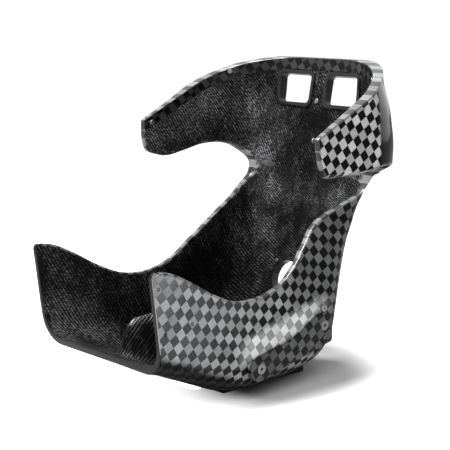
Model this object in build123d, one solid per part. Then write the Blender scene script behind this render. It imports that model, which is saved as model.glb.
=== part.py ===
from build123d import *
import os
from math import atan2, cos, degrees, hypot, pi, radians, sin, tan

# A bare carbon racing seat: two skins on foam cores, with the fittings that are bonded to it.
# Millimetres. The occupant faces -Y and sits on the +Z side; +X is the occupant's left.
# The origin is on the ground plane under the foot pad, on the centre line.

# Laminate
skin = 1.5                # one carbon skin
rim_wall = 3.0            # outer skin where it turns over the free edge
band = 27.0               # depth of the outer skin's turned-down band along the top
frame_raise = 4.0         # bonded frames stand this far off the sitting surface
frame_wall = 3.0          # sleeve wall of the bonded frames

# Walls of the sandwich, outer face to sitting face
floor_wall = 16.0
back_wall = 18.0
top_wall = 20.0
thigh_wall = 12.0
hip_wall = 15.0
wing_low_wall = 14.0
wing_top_wall = 28.0
thin_edge_wall = 11.0     # side walls thin toward their front edges

# The bucket opens toward a line across the seat, ahead of the occupant's waist
open_y = -60.0
open_z = 430.0

# Outer half widths
front_half_width = 211.0
hip_half_width = 208.0
waist_half_width = 183.0
wing_half_width = 309.0
top_half_width = 304.0
top_corner = 262.0        # outer radius of the corners at the top

# Side view
front_reach = 392.0       # front edge of the thigh bolsters
front_lip_reach = 363.0   # front edge of the pan floor
front_lip_height = 108.0
lip_depth = 14.0          # solid laminate behind the front edge
thigh_top = 336.0
notch_height = 231.0      # lowest point of the side walls' top edge
back_foot = 221.5         # outer back line, at height back_foot_z
back_foot_z = 198.0
waist_y = 280.0           # outer back line, at height waist_z
waist_z = 400.0
back_top_y = 350.0        # outer back line, at height back_top_z
back_top_z = 750.0
frame_lean = 13.3         # degrees from vertical that the bonded frames are set at
heel_radius = 110.0       # outer turn from the belly up to the back
belly_radius = 300.0
lip_radius = 120.0
waist_radius = 1200.0
belly_front = -115.0      # the belly's lowest line runs between these
belly_back = 50.0
back_height = 730.0
throat_y = 273.0          # the side openings reach back to here
wing_reach = 8.0          # wing tips ahead of the origin
wing_tip_top = 580.0
wing_tip_low = 490.0
belly_clear = 7.0         # lowest point of the shell above the ground

# Shoulder belt windows
window_width = 100.0
window_height = 70.0
window_spacing = 154.0
window_mid_height = 654.0
window_corner = 10.0
window_flange = 9.0

# Round opening in the lower back
vent_radius = 45.0
vent_height = 198.0
vent_flange = 9.0
vent_ear = 9.0            # radius of the two screw ears
vent_ear_x = 38.0
vent_ear_up = 40.0
vent_screw = 2.5
vent_head = 3.0

# Crotch belt slot and the leg divider in front of it
slot_width = 90.0
slot_length = 32.0
slot_y = -128.0
slot_flange = 9.0
divider_half_width = 38.0
divider_front = -300.0
divider_crest_y = -205.0
divider_crest = 184.0
divider_back = -170.0
divider_nose = 96.0       # the nose starts this far below the crest
divider_brow = (55.0, 10.0)   # behind the nose, below the crest
divider_heel = (8.0, 40.0)    # ahead of the back, below the crest
divider_cheek = 30.0      # the sides end this far below the crest
divider_root = 20.0       # built up from this far under the belly

# Side mounting blocks and their threaded inserts (M8)
block_face = 211.0        # half the distance across the two mounting faces
insert_front = (-83.0, 74.0)
insert_rear = (118.0, 137.0)
block_about_front = [(-33, 26), (-33, -12), (-11, -28)]    # block corners, from the front insert
block_about_rear = [(24, -40), (24, 35), (-24, 29), (-100, -13)]
block_radii = [20, 20, 12, 10, 24, 60, 24]
insert_bore = 3.4
insert_body = 8.0
insert_flange = 12.0
insert_flange_thick = 2.0
insert_length = 18.0

# Small threaded inserts (M5): how far each set lies in (y, z) on the side walls
small_bore = 2.1
small_body = 4.0
small_in_block = 6.0
block_holes = [(-1, 90), (38, 96), (77, 102), (118, 108)]
thigh_holes = [(-374, 300), (-284, 212), (-358, 203)]
wing_holes = [(132, 637), (48, 501)]
top_hole_spacing = 120.0
top_hole_drop = 14.0

# Studs with domed heads
stud_shank = 3.0
stud_head = 6.0
stud_stand = 12.0         # wing studs, from the sitting face to the head
stud_head_thick = 4.0
wing_stud_at = (8.0, 575.0)
centre_stud_drop = 28.0   # below the middle of the belt windows
band_screw_turn = 51.0    # degrees round the top corners from the middle
band_screw_drop = 38.0
boss_at = (114.0, 178.0)
boss_radius = 8.0
boss_face = 212.0

# Ground
foot_half_width = 115.0
foot_front = -110.0
foot_back = 150.0

# Foam joints
core_middle = 150.0       # the pan and back foam ends this far from the centre line
core_split_y = -30.0      # thigh foam ahead, hip foam behind
core_split_z = 230.0      # hip foam below, waist foam above
heel_split_y = 150.0      # pan foam ahead, back foam behind

# Construction, clear of the finished surfaces
section_count = 40
wall_clear = 60.0         # side walls end this far from the open line, before they are trimmed
run_out = 55.0            # the wall runs on past its trimmed ends
side_reach = 400.0        # half length of cutting tools across the seat
side_start = 120.0        # tools for the side walls start this far from the centre line
window_cut = 70.0
vent_cut = 45.0
slot_cut = (-10.0, 80.0)
foot_rise = 60.0
ground_cut = -60.0
sky_cut = 800.0
behind = 430.0
ahead = -450.0


def back_y(height):
    """Outer face of the back on the centre line, without the soft bend at the waist."""
    if height < waist_z:
        return back_foot + (height - back_foot_z) * (waist_y - back_foot) / (waist_z - back_foot_z)
    return waist_y + (height - waist_z) * (back_top_y - waist_y) / (back_top_z - waist_z)


class Section:
    """One cross-section of the bucket, a U that opens toward the open line."""

    def __init__(self, y, z, angle, stop, half_width, flare, corner, base_wall, side_wall, edge_wall):
        self.y, self.z = y, z               # outer centre-line point
        self.angle = radians(angle)         # way out of the bucket: 0 down, 90 back
        self.stop = stop                    # height of the U
        self.half_width = half_width        # to the outer face of the side wall, level with the corner
        self.flare = radians(flare)         # lean of the side wall, outward up
        self.corner = corner
        self.walls = (base_wall, side_wall, edge_wall)

    def place(self, x, height):
        return Vector(x, self.y - height * sin(self.angle), self.z + height * cos(self.angle))

    def depth(self, layer, share):
        """How far a layer lies in from the outer face; share is 0 at the base, 1 where the side
        wall starts and 2 at its end."""
        near = min(int(share), 1)
        wall = self.walls[near] + (self.walls[near + 1] - self.walls[near]) * (share - near)
        return {
            "rear": -frame_wall,
            "outer": 0.0,
            "core_outer": skin,
            "core_inner": wall - skin,
            "inner": wall,
            "raised": wall + frame_raise,
            "stud": wall + stud_stand,
            "air": wall + stud_stand + stud_head_thick,
        }[layer]

    def half(self, layer):
        """Points (x, height) of one half of the U, centre line first."""
        middle = self.half_width - self.corner / cos(self.flare)
        points = []

        def add(x, height, way_x, way_up, share):
            deep = self.depth(layer, share)
            points.append((x + way_x * deep, height + way_up * deep))

        for share in (0.0, 0.5):
            add(share * middle, 0.0, 0.0, 1.0, 0.0)
        steps = 4
        for step in range(steps + 1):
            turn = (pi / 2 - self.flare) * step / steps
            add(middle + self.corner * sin(turn), self.corner * (1 - cos(turn)), -sin(turn), cos(turn), step / steps)
        wall_x = middle + self.corner * cos(self.flare)
        wall_start = self.corner * (1 - sin(self.flare))
        for share in (1 / 3, 2 / 3, 1.0):
            rise = (self.stop - wall_start) * share
            add(wall_x + rise * tan(self.flare), wall_start + rise, -cos(self.flare), sin(self.flare), 1 + share)
        return points

    def curve(self, layer):
        half = self.half(layer)
        left = [self.place(-x, height) for x, height in reversed(half[1:])]
        return left + [self.place(x, height) for x, height in half]


def blend(keys, at, column):
    """Smooth, never overshooting value of one column of a table at a place between its rows."""
    places = [row[0] for row in keys]
    values = [row[column] for row in keys]
    steps = [(b - a) / (q - p) for a, b, p, q in zip(values, values[1:], places, places[1:])]
    slopes = [steps[0]]
    for before, after in zip(steps, steps[1:]):
        slopes.append(2 * before * after / (before + after) if before * after > 0 else 0.0)
    slopes.append(steps[-1])
    row = max(k for k in range(len(places) - 1) if k == 0 or places[k] <= at)
    width = places[row + 1] - places[row]
    t = (at - places[row]) / width
    start, end = values[row], values[row + 1]
    return (
        start * (1 + 2 * t) * (1 - t) ** 2 + end * t * t * (3 - 2 * t)
        + width * (slopes[row] * t * (1 - t) ** 2 - slopes[row + 1] * t * t * (1 - t))
    )


# Where along the seat a value holds: below 0 is the pan, in 100 mm ahead of the open line; 0 to 4 is
# the turn under the open line, in quarters; above 4 is the back, in 100 mm above the open line.
# Columns: place, half width, flare, corner radius, then the wall at the base, side and free edge.
shape = [
    (-3.6, front_half_width, 0, 60, floor_wall, thigh_wall, thin_edge_wall),
    (-2.7, front_half_width + 1, -0.5, 62, floor_wall, thigh_wall, thin_edge_wall),
    (-1.85, front_half_width, -2, 75, floor_wall, thigh_wall, thin_edge_wall),
    (-1.0, hip_half_width + 3, -4, 90, floor_wall, thigh_wall, thin_edge_wall),
    (-0.4, hip_half_width + 1, -5, 95, floor_wall, thigh_wall + 1, thin_edge_wall),
    (0.7, hip_half_width, -4.6, 95, floor_wall, hip_wall, thin_edge_wall),
    (1.45, hip_half_width - 1, -5.3, 92, floor_wall, hip_wall, thin_edge_wall),
    (2.3, waist_half_width + 17, -12, 86, back_wall, hip_wall, thin_edge_wall),
    (3.05, waist_half_width + 5, -15, 66, back_wall, hip_wall, thin_edge_wall),
    (3.5, waist_half_width, -12, 47, back_wall, hip_wall, thin_edge_wall),
    (4.0, waist_half_width + 16, -5, 45, back_wall, hip_wall, thin_edge_wall),
    (4.38, wing_half_width - 75, -3.0, 68, back_wall, wing_low_wall, thin_edge_wall),
    (4.75, wing_half_width, -1.6, 118, back_wall, wing_low_wall, thin_edge_wall),
    (5.1, wing_half_width - 2, -1.6, 122, back_wall, wing_low_wall + 3, thin_edge_wall),
    (5.8, top_half_width, -2.6, 155, top_wall, wing_top_wall - 3, thin_edge_wall),
    (6.65, top_half_width, -3.5, 228, top_wall, wing_top_wall, thin_edge_wall),
    (7.5, top_half_width, -3.5, top_corner, top_wall, wing_top_wall, thin_edge_wall),
]


def centre_profile():
    """Outer centre line in side view as (y, z), from ahead of the lip to above the back."""
    heel_z = belly_clear + 31
    return FilletPolyline(
        (-front_lip_reach - run_out, front_lip_height + 15),
        (-front_lip_reach + 25, front_lip_height - 7),
        (belly_front, belly_clear - 4),
        (belly_back, belly_clear + 5),
        (back_y(heel_z), heel_z),
        (waist_y, waist_z),
        (back_top_y, back_top_z),
        radius=[lip_radius, belly_radius, belly_radius, heel_radius, waist_radius],
    )


def make_sections():
    profile = centre_profile()
    made = []
    for number in range(section_count):
        point = profile @ (number / (section_count - 1))
        y, z = point.X, point.Y
        if y < open_y:
            angle, place, stop = 0.0, (y - open_y) / 100, open_z - z - wall_clear
        elif z > open_z:
            angle, place, stop = 90.0, 4 + (z - open_z) / 100, y - open_y - wall_clear * 0.6
        else:
            angle = degrees(atan2(y - open_y, open_z - z))
            place = angle / 22.5
            stop = hypot(y - open_y, open_z - z) - wall_clear * (1 - 0.1 * place)
        values = [blend(shape, place, column) for column in range(1, 7)]
        made.append(Section(y, z, angle, stop, *values))
    return made


sections = make_sections()


def chord_shares(points):
    """How far along a run of points each of them lies, from 0 to 1."""
    lengths = [0.0]
    for start, end in zip(points, points[1:]):
        lengths.append(lengths[-1] + (end - start).length)
    return [length / lengths[-1] for length in lengths]


def layer(outer_side, inner_side):
    """The bucket's wall between two depths, before it is trimmed."""
    rings = []
    for section in sections:
        shares = chord_shares(section.curve("outer"))
        outside = section.curve(outer_side)
        inside = section.curve(inner_side)
        rings.append(Wire([
            Edge.make_spline(outside, parameters=shares),
            Edge.make_line(outside[-1], inside[-1]),
            Edge.make_spline(inside, parameters=shares),
            Edge.make_line(inside[0], outside[0]),
        ]))
    return Solid.make_loft(rings, ruled=True)


# Free edge of the shell in side view, as (y, z)
front_slope = (front_reach - front_lip_reach) / (thigh_top - front_lip_height)


def front_y(height):
    """Front edge of the pan, leaning forward to the top of the thigh bolsters."""
    return -front_lip_reach - (height - front_lip_height) * front_slope


thigh_curve = [
    (front_y(thigh_top), thigh_top), (-340, thigh_top - 9), (-289, thigh_top - 33), (-220, notch_height + 33),
    (-155, notch_height + 6), (-106, notch_height), (-58, notch_height + 4), (-8, notch_height + 21),
    (34, notch_height + 52), (78, notch_height + 90), (121, notch_height + 129), (156, notch_height + 150),
    (211, notch_height + 177), (throat_y - 18, notch_height + 202), (throat_y, notch_height + 234),
    (throat_y - 7, wing_tip_low + 7), (throat_y - 31, wing_tip_low + 17), (195, wing_tip_low + 16),
    (140, wing_tip_low + 8), (62, wing_tip_low), (40, wing_tip_low),
]
tip_curve = [
    (40, wing_tip_low), (12, wing_tip_low + 10), (-2, wing_tip_low + 36), (-wing_reach, wing_tip_top),
]
top_curve = [
    (-wing_reach, wing_tip_top), (32, wing_tip_top + 20), (80, wing_tip_top + 44), (154, wing_tip_top + 82),
    (205, wing_tip_top + 107), (250, wing_tip_top + 127), (285, back_height - 11), (325, back_height),
]
outline_points = thigh_curve + tip_curve[1:] + top_curve[1:] + [
    (behind, back_height + 4), (behind, ground_cut), (front_y(ground_cut), ground_cut)]


def inset(points, amount):
    """A closed run of points moved in by an amount, with mitred corners."""
    moved = []
    for before, here, after in zip(points[-1:] + points[:-1], points, points[1:] + points[:1]):
        way_in = Vector(here[0] - before[0], here[1] - before[1]).normalized()
        way_out = Vector(after[0] - here[0], after[1] - here[1]).normalized()
        normal = Vector(way_in.Y + way_out.Y, -way_in.X - way_out.X)
        normal = normal * (amount / (1 + way_in.dot(way_out)))
        moved.append((here[0] + normal.X, here[1] + normal.Y))
    return moved


def side_outline(points):
    """The kept region in side view: three smooth stretches, then straight lines behind and below."""
    tip_start = len(thigh_curve) - 1
    top_start = tip_start + len(tip_curve) - 1
    top_end = top_start + len(top_curve) - 1
    smooth = [
        Spline(*points[:tip_start + 1]),
        Spline(*points[tip_start:top_start + 1]),
        Spline(*points[top_start:top_end + 1]),
    ]
    return make_face(smooth + [Polyline(*points[top_end:], points[0])])


def side_strip(points, y_shift, z_shift):
    """The strip in side view that a curve sweeps when it moves."""
    moved = [(y + y_shift, z + z_shift) for y, z in points]
    return make_face([
        Spline(*points),
        Line(points[-1], moved[-1]),
        Spline(*moved),
        Line(moved[0], points[0]),
    ])


def across(sheet, half=side_reach):
    """A side view face made into a tool across the seat."""
    return extrude(Plane.YZ * sheet, amount=half, both=True)


def cylinder(start, way, radius, length):
    """A round bar from a start point along a direction."""
    return Plane(origin=start, z_dir=way) * Cylinder(
        radius, length, align=(Align.CENTER, Align.CENTER, Align.MIN))


def block(x_range, y_range, z_range):
    corners = list(zip(x_range, y_range, z_range))
    low, high = corners
    return Pos(*low) * Box(*(b - a for a, b in zip(low, high)), align=(Align.MIN, Align.MIN, Align.MIN))


def mirrored(part):
    return mirror(part, about=Plane.YZ)


def solid_of(shape):
    """The single solid of a shape."""
    return max(shape.solids(), key=lambda solid: solid.volume)


def furthest(shape, way):
    """The solid of a shape that lies furthest along a direction."""
    return max(shape.solids(), key=lambda solid: solid.center().dot(Vector(way)))


# ---- The wall's layers, untrimmed ----
full_wall = layer("outer", "inner")
core_layer = layer("core_outer", "core_inner")
from_outside = layer("outer", "core_inner")
from_inside = layer("core_outer", "inner")
raised_layer = layer("inner", "raised")
wall_and_frame = layer("outer", "raised")
rear_layer = layer("rear", "outer")
bucket_plug = layer("outer", "air")

# ---- Regions in side view ----
front_line = [(front_y(height), height) for height in (ground_cut, front_lip_height, thigh_top + run_out)]
edge_tool = across(side_outline(outline_points))
front_tool = across(side_strip(front_line, lip_depth, 0)) & edge_tool
inside_edge = across(side_outline(inset(outline_points, rim_wall))) - front_tool
band_tool = across(side_strip(top_curve + [(behind, back_height + 4)], 0, -band))

# ---- Laminate ----
outer_skin = layer("outer", "core_outer") & edge_tool
inner_layer = layer("core_inner", "inner")
inner_skin = inner_layer & (inside_edge - band_tool)
top_band = inner_layer & (inside_edge & band_tool)
front_edge_moulding = solid_of(from_inside & front_tool)
rim_closeout = solid_of(from_inside & (edge_tool - inside_edge - front_tool))

# ---- Belt windows, round opening and crotch slot ----
lean = radians(frame_lean)
back_way = Vector(0, cos(lean), -sin(lean))     # out of the back, square to it
back_up = Vector(0, sin(lean), cos(lean))


def on_back(x, z):
    """Where a level at height z meets the sitting face of the back."""
    return Vector(x, back_y(z) - back_wall, z)


def back_prism(x, z, shape, half_depth):
    """A flat shape made into a tool through the back, square to it."""
    plane = Plane(origin=on_back(x, z), x_dir=(1, 0, 0), z_dir=back_way)
    return extrude(plane * shape, amount=half_depth, both=True)


def window_shape(grow):
    return RectangleRounded(window_width + 2 * grow, window_height + 2 * grow, window_corner + grow)


def framed(make_tool, flange):
    """Opening, pocket and frame of an opening: the frame has a sleeve through the wall and a
    flange on the sitting face."""
    opening = make_tool(0.0)
    pocket = make_tool(frame_wall)
    sleeve = wall_and_frame & (pocket - opening)
    collar = raised_layer & (make_tool(flange) - pocket)
    return opening, pocket, solid_of(sleeve + collar)


window_x = window_spacing / 2
window_open, window_pocket, window_frame = framed(
    lambda grow: back_prism(window_x, window_mid_height, window_shape(grow), window_cut), window_flange)


def vent_outline(grow):
    """Round opening; the flange, and only the flange, has two ears."""
    shape = Circle(vent_radius + grow)
    if grow > frame_wall:
        for side in (-1, 1):
            shape += Pos(side * vent_ear_x, vent_ear_up) * Circle(vent_ear)
    return shape


def vent_prism(grow):
    return back_prism(0, vent_height, vent_outline(grow), vent_cut)


vent_open, vent_pocket, vent_ring = framed(vent_prism, vent_flange)
vent_clamp = solid_of(rear_layer & vent_prism(vent_flange) - vent_open)


def slot_tool(grow):
    shape = SlotOverall(slot_width + 2 * grow, slot_length + 2 * grow)
    return Pos(0, slot_y, slot_cut[0]) * extrude(shape, amount=slot_cut[1] - slot_cut[0])


slot_open, slot_pocket, slot_frame = framed(slot_tool, slot_flange)

vent_bars = []
vent_screws = []
for side in (-1, 1):
    ear = on_back(0, vent_height) + Vector(side * vent_ear_x, 0, 0) + back_up * vent_ear_up
    bar = cylinder(ear - back_way * vent_cut / 2, back_way, vent_screw, vent_cut * 1.5)
    head = cylinder(ear - back_way * (frame_raise + vent_head), back_way, vent_screw * 2, vent_head)
    shank = cylinder(ear - back_way * (frame_raise + vent_head / 2), back_way, vent_screw,
                     vent_head / 2 + frame_raise + back_wall + frame_wall)
    vent_bars.append(bar)
    vent_screws.append(solid_of(shank + head))
vent_ring = solid_of(vent_ring - vent_bars)
vent_clamp_ring = solid_of(vent_clamp - vent_bars)

# ---- Leg divider ahead of the crotch slot ----
divider_low = belly_clear - divider_root
divider_length = divider_back - divider_front
divider_side = FilletPolyline(
    (divider_front, divider_low),
    (divider_front, divider_crest - divider_nose),
    (divider_front + divider_brow[0], divider_crest - divider_brow[1]),
    (divider_crest_y, divider_crest),
    (divider_back - divider_heel[0], divider_crest - divider_heel[1]),
    (divider_back, divider_low),
    radius=[30, 60, 14, 40], close=False)
divider_side = make_face([divider_side, Line(divider_side @ 1, divider_side @ 0)])
divider_plan = Pos(0, divider_front + divider_length / 2) * RectangleRounded(
    2 * divider_half_width, divider_length, 0.8 * divider_half_width)
left_cheek = (divider_half_width, divider_crest - divider_cheek)
right_cheek = (-divider_half_width, divider_crest - divider_cheek)
divider_front_view = make_face([
    Spline(right_cheek, (0, divider_crest), left_cheek, tangents=[(0, 1), (1, 0), (0, -1)]),
    Polyline(left_cheek, (divider_half_width, divider_low), (-divider_half_width, divider_low), right_cheek),
])
divider_raw = across(divider_side, divider_half_width)
divider_raw &= extrude(divider_plan, amount=divider_crest, both=True)
divider_raw &= extrude(Plane.XZ * divider_front_view, amount=-divider_front, both=True)
leg_divider = furthest(divider_raw - full_wall, (0, 0, 1))

# ---- Side mounting blocks ----
def about(insert, steps):
    return [(insert[0] + y, insert[1] + z) for y, z in steps]


block_corners = about(insert_front, block_about_front) + about(insert_rear, block_about_rear)
block_profile = FilletPolyline(*block_corners, radius=block_radii, close=True)
block_raw = Pos(side_start, 0, 0) * extrude(Plane.YZ * make_face(block_profile), amount=block_face - side_start)
mount_block = furthest(block_raw - bucket_plug, (1, 0, 0))
boss_raw = cylinder((side_start, *boss_at), (1, 0, 0), boss_radius, boss_face - side_start)
side_boss = furthest(boss_raw - bucket_plug, (1, 0, 0))
side_boss -= cylinder((boss_face - small_in_block, *boss_at), (1, 0, 0), small_bore, small_in_block)

# ---- Threaded inserts, on the left side ----
sideways = (1, 0, 0)
block_pockets = []
mount_inserts = []
for place in (insert_front, insert_rear):
    body = cylinder((block_face - insert_length, *place), sideways, insert_body, insert_length)
    body += cylinder((block_face - insert_flange_thick, *place), sideways, insert_flange, insert_flange_thick)
    bore = cylinder((block_face - insert_length, *place), sideways, insert_bore, insert_length)
    block_pockets.append(body)
    mount_inserts.append(solid_of(body - bore))

block_inserts = []
for place in block_holes:
    body = cylinder((block_face - small_in_block, *place), sideways, small_body, small_in_block)
    bore = cylinder((block_face - small_in_block, *place), sideways, small_bore, small_in_block)
    block_pockets.append(body)
    block_inserts.append(solid_of(body - bore))
mount_block = solid_of(mount_block - block_pockets)


def wall_inserts(feet, wall, way, length):
    """Pockets for small inserts and the inserts that fill them, flush with one face of the wall."""
    pockets = []
    inserts = []
    for foot in feet:
        pocket = solid_of(wall & cylinder(foot, way, small_body, length))
        pockets.append(pocket)
        inserts.append(solid_of(pocket - cylinder(foot, way, small_bore, length)))
    return pockets, inserts


def side_feet(places):
    return [(side_start, *place) for place in places]


side_length = side_reach - side_start
thigh_pockets, thigh_inserts = wall_inserts(side_feet(thigh_holes), from_outside, sideways, side_length)
wing_pockets, wing_inserts = wall_inserts(side_feet(wing_holes), from_outside, sideways, side_length)
top_feet = [
    on_back(side * top_hole_spacing, back_height - top_hole_drop) - back_way * back_wall for side in (-1, 0, 1)]
top_pockets, top_flange_inserts = wall_inserts(top_feet, from_inside, back_way, 3 * back_wall)


# ---- Studs ----
def stud(foot, way, shank_wall, head_wall, length):
    """A stud set in the wall, with its head over the sitting face."""
    bar = cylinder(foot, way, stud_shank, length)
    shank = shank_wall & bar
    head = head_wall & (cylinder(foot, way, stud_head, length) - bar)
    return bar, solid_of(shank + head)


wing_shank, wing_stud = stud(
    Vector(side_start, *wing_stud_at), sideways, layer("outer", "air"), layer("stud", "air"), side_length)
centre_shank, centre_stud = stud(
    on_back(0, window_mid_height - centre_stud_drop) - back_way * back_wall, back_way,
    layer("core_outer", "raised"), raised_layer, 3 * back_wall)
screw_z = back_height - band_screw_drop
turn = radians(band_screw_turn)
screw_foot = Vector(top_half_width - top_corner, back_y(screw_z) - top_corner, screw_z)
band_shank, band_screw = stud(
    screw_foot, Vector(sin(turn), cos(turn), 0), layer("core_outer", "raised"), raised_layer,
    top_corner + back_wall)

# ---- Foot pad ----
foot_raw = block((-foot_half_width, foot_half_width), (foot_front, foot_back), (0, foot_rise))
foot_pad = furthest(foot_raw - bucket_plug, (0, 0, -1))

# ---- Cores, split where a maker cuts the foam ----
core = core_layer & inside_edge
openings = [window_pocket, mirrored(window_pocket), vent_pocket, slot_pocket, *vent_bars]
outside_pockets = [*block_pockets, *thigh_pockets, *wing_pockets, wing_shank]
inside_pockets = [*block_pockets, wing_shank, band_shank]
left_pockets = [*outside_pockets, band_shank]
middle_pockets = [*top_pockets, centre_shank]


def both_sides(tools):
    return tools + [mirrored(tool) for tool in tools]



middle = (-core_middle, core_middle)
aside = (core_middle, side_reach)
pan_core = core & block(middle, (ahead, heel_split_y), (ground_cut, sky_cut))
back_core = core & block(middle, (heel_split_y, behind), (ground_cut, sky_cut))
thigh_core = core & block(aside, (ahead, core_split_y), (ground_cut, open_z))
hip_core = core & block(aside, (core_split_y, behind), (ground_cut, core_split_z))
waist_core = core & block(aside, (core_split_y, behind), (core_split_z, open_z))
shoulder_core = core & block(aside, (ahead, behind), (open_z, sky_cut))

outer_skin = solid_of(outer_skin - openings - both_sides(outside_pockets))
inner_skin = solid_of(inner_skin - openings - both_sides(inside_pockets) - middle_pockets)
top_band = solid_of(top_band - both_sides(inside_pockets) - middle_pockets)
front_edge_moulding = solid_of(front_edge_moulding - both_sides(thigh_pockets))
pan_core = solid_of(pan_core - slot_pocket)
back_core = solid_of(back_core - openings - middle_pockets)
thigh_core = solid_of(thigh_core - left_pockets)
hip_core = solid_of(hip_core - left_pockets)
waist_core = solid_of(waist_core - left_pockets)
shoulder_core = solid_of(shoulder_core - left_pockets)

nodes = {
    "outer_skin": outer_skin,
    "inner_skin": inner_skin,
    "top_band": top_band,
    "rim_closeout": rim_closeout,
    "front_edge_moulding": front_edge_moulding,
    "pan_core": pan_core,
    "back_core": back_core,
    "leg_divider": leg_divider,
    "vent_ring": vent_ring,
    "vent_clamp_ring": vent_clamp_ring,
    "vent_screws": Compound(vent_screws),
    "crotch_belt_frame": slot_frame,
    "top_flange_inserts": Compound(top_flange_inserts),
    "centre_stud": centre_stud,
    "foot_pad": foot_pad,
}
sided = {
    "thigh_core": thigh_core,
    "hip_core": hip_core,
    "waist_core": waist_core,
    "shoulder_core": shoulder_core,
    "shoulder_belt_frame": window_frame,
    "mount_block": mount_block,
    "mount_insert_front": mount_inserts[0],
    "mount_insert_rear": mount_inserts[1],
    "block_inserts": Compound(block_inserts),
    "thigh_inserts": Compound(thigh_inserts),
    "wing_inserts": Compound(wing_inserts),
    "wing_stud": wing_stud,
    "band_screw": band_screw,
    "side_boss": side_boss,
}
for name, part in sided.items():
    nodes[name + "_left"] = part
    nodes[name + "_right"] = mirrored(part)

os.makedirs("parts", exist_ok=True)
for name, part in nodes.items():
    export_step(part, "parts/" + name + ".step")
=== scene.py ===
import bpy
import bmesh
from bisect import bisect_right
from math import atan2, cos, degrees, exp, hypot, pi, radians, sin, tan
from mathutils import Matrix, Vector


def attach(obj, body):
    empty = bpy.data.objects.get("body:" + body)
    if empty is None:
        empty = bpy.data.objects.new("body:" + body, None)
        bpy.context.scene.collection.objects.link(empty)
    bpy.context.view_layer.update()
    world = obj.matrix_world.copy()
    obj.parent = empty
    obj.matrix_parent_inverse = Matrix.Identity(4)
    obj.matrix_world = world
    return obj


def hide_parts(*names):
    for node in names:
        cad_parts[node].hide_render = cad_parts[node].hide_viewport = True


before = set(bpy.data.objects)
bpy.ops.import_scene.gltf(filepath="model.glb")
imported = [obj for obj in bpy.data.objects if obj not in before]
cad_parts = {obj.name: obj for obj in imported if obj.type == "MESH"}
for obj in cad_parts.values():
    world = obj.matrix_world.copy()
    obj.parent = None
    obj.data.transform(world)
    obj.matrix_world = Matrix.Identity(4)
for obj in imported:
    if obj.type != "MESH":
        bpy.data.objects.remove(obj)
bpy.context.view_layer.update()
print("frame loaded:", len(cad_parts), "nodes")

mm = 0.001

# The bucket, in millimetres: the occupant faces -Y, and +X is the occupant's left.
# Its sections stand across the seat and open toward one line. A section's place counts along
# the centre line: below 0 in the pan, 0 to 4 round the turn under the back, above 4 in the back.
bucket = {
    "openY": -60.0, "openZ": 430.0,         # the line that the sections open toward
    "straight": 100.0,                      # length of one place in the pan and in the back
    "turn": 22.5, "turns": 4,               # degrees of one place in the turn, and its count of places
    "wallClear": 60.0, "clearLoss": 0.1,    # how far short of that line the walls stop, and less per place
    "skin": 1.5,
    "profile": [(-418, 123), (-338, 101), (-115, 3), (50, 12)],
    "profileRadii": [120, 300, 300, 110, 1200], "profileStep": 3.0,
    "heelZ": 38.0, "backFoot": (221.5, 198.0), "backWaist": (280.0, 400.0), "backTop": (350.0, 750.0),
    "backLean": 13.3,
    # place, outer half width, flare, corner radius, wall at the base, side and free edge
    "rows": [
        (-3.6, 211, 0, 60, 16, 12, 11), (-2.7, 212, -0.5, 62, 16, 12, 11), (-1.85, 211, -2, 75, 16, 12, 11),
        (-1.0, 211, -4, 90, 16, 12, 11), (-0.4, 209, -5, 95, 16, 13, 11), (0.7, 208, -4.6, 95, 16, 15, 11),
        (1.45, 207, -5.3, 92, 16, 15, 11), (2.3, 200, -12, 86, 18, 15, 11), (3.05, 188, -15, 66, 18, 15, 11),
        (3.5, 183, -12, 47, 18, 15, 11), (4.0, 199, -5, 45, 18, 15, 11), (4.38, 234, -3.0, 68, 18, 14, 11),
        (4.75, 309, -1.6, 118, 18, 14, 11), (5.1, 307, -1.6, 122, 18, 17, 11),
        (5.8, 304, -2.6, 155, 20, 25, 11), (6.65, 304, -3.5, 228, 20, 28, 11),
        (7.5, 304, -3.5, 262, 20, 28, 11),
    ],
}

# Free edge of the shell in side view, from the front of the thigh panel up to the top
outline = {
    "front": (-363, 108),
    "thigh": [(-392, 336), (-340, 327), (-289, 303), (-220, 264), (-155, 237), (-106, 231), (-58, 235),
              (-8, 252), (34, 283), (78, 321), (121, 360), (156, 381), (211, 408), (255, 433), (273, 465),
              (266, 497), (242, 507), (195, 506), (140, 498), (62, 490), (40, 490)],
    "tip": [(40, 490), (12, 500), (-2, 526), (-8, 580)],
    "top": [(-8, 580), (32, 600), (80, 624), (154, 662), (205, 687), (250, 707), (285, 719), (325, 730)],
    "behind": (430, 734), "under": [(430, -60), (-330, -60)],
    "step": 5.0, "topStep": 6.0,
}


def runLength(points):
    return sum((end - start).length for start, end in zip(points, points[1:]))


def evenly(points, count):
    # the same run, as a count of points at equal spacing
    reach = [0.0]
    for start, end in zip(points, points[1:]):
        reach.append(reach[-1] + (end - start).length)
    made = []
    for number in range(count):
        at = reach[-1] * number / (count - 1)
        k = min(max(bisect_right(reach, at) - 1, 0), len(points) - 2)
        span = reach[k + 1] - reach[k]
        made.append(points[k].lerp(points[k + 1], (at - reach[k]) / span if span else 0.0))
    return made


def spaced(points, step):
    return evenly(points, int(runLength(points) / step) + 2)


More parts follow.
